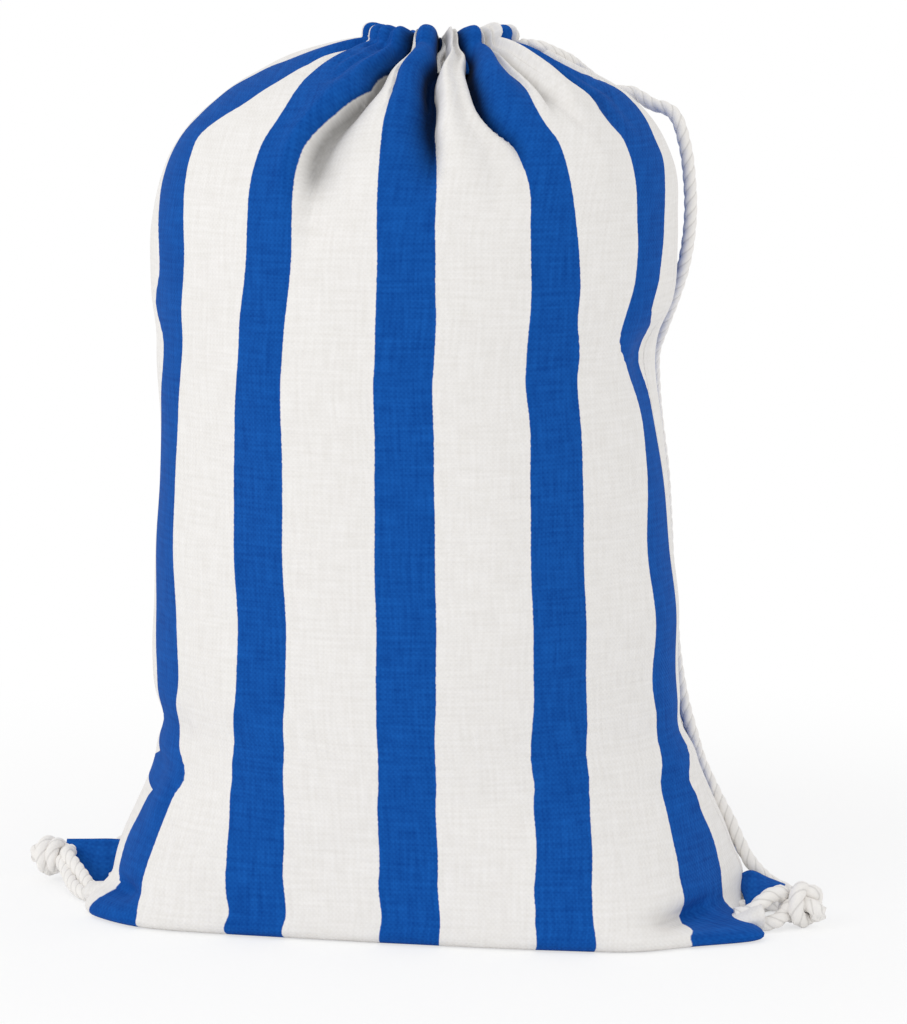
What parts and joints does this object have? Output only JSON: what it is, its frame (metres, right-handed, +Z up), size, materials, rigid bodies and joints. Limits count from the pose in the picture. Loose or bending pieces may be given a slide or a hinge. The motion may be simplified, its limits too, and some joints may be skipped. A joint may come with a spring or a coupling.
{
  "type": "drawstring backpack",
  "caption": "Stuffed drawstring backpack of striped canvas, closed at a gathered mouth, with twisted cord straps knotted at the base corners.",
  "frame": {"origin": "on the floor, at the middle of the flat base", "axes": "+Z up to the gathered mouth, -Y to the front, +X to the bag's right side as seen from the front"},
  "size_m": [0.4098, 0.202, 0.4238],
  "materials": {
    "striped_canvas": "plain-woven cotton canvas, blue and white stripes",
    "cotton_tape": "woven cotton tape",
    "cotton_cord": "three-strand twisted cotton cord"
  },
  "bodies": {
    "bag": {"front_panel": "striped_canvas", "back_panel": "striped_canvas", "front_channel": "striped_canvas", "back_channel": "striped_canvas", "left_side_tape": "cotton_tape", "right_side_tape": "cotton_tape", "base_tape": "cotton_tape", "left_corner_patch": "striped_canvas", "right_corner_patch": "striped_canvas", "left_corner_loop": "cotton_tape", "right_corner_loop": "cotton_tape", "left_drawcord": "cotton_cord", "right_drawcord": "cotton_cord"},
    "left_outer_strap": {"left_outer_leg": "cotton_cord"},
    "left_inner_strap": {"left_inner_leg": "cotton_cord"},
    "right_outer_strap": {"right_outer_leg": "cotton_cord"},
    "right_inner_strap": {"right_inner_leg": "cotton_cord"},
    "left_stopper": {"left_knot": "cotton_cord", "left_cord_ends": "cotton_cord"},
    "right_stopper": {"right_knot": "cotton_cord", "right_cord_ends": "cotton_cord"}
  },
  "joints": [
    {"name": "left_outer_swing", "type": "hinge", "parent": "bag", "child": "left_outer_strap", "pos_m": [-0.0551, -0.00335, 0.41215], "axis": [0.288, -0.014, 0.9575], "range_deg": [0, 60]},
    {"name": "left_inner_swing", "type": "hinge", "parent": "bag", "child": "left_inner_strap", "pos_m": [-0.0551, 0.00335, 0.41215], "axis": [0.2735, 0.0018, 0.9619], "range_deg": [0, 45]},
    {"name": "right_outer_swing", "type": "hinge", "parent": "bag", "child": "right_outer_strap", "pos_m": [0.0491, -0.00335, 0.41885], "axis": [0.2964, 0.0137, -0.955], "range_deg": [0, 60]},
    {"name": "right_inner_swing", "type": "hinge", "parent": "bag", "child": "right_inner_strap", "pos_m": [0.0491, 0.00335, 0.41885], "axis": [0.2822, -0.0017, -0.9593], "range_deg": [0, 45]},
    {"name": "left_knot_lift", "type": "hinge", "parent": "bag", "child": "left_stopper", "pos_m": [-0.1743, -0.0146, 0.00465], "axis": [-1, 0, 0], "range_deg": [0, 30]},
    {"name": "right_knot_lift", "type": "hinge", "parent": "bag", "child": "right_stopper", "pos_m": [0.1743, -0.0146, 0.00465], "axis": [-1, 0, 0], "range_deg": [0, 30]}
  ],
  "couplings": [
    {"joint": "left_inner_swing", "follows": "left_outer_swing", "ratio": 0.75},
    {"joint": "right_inner_swing", "follows": "right_outer_swing", "ratio": 0.75}
  ]
}
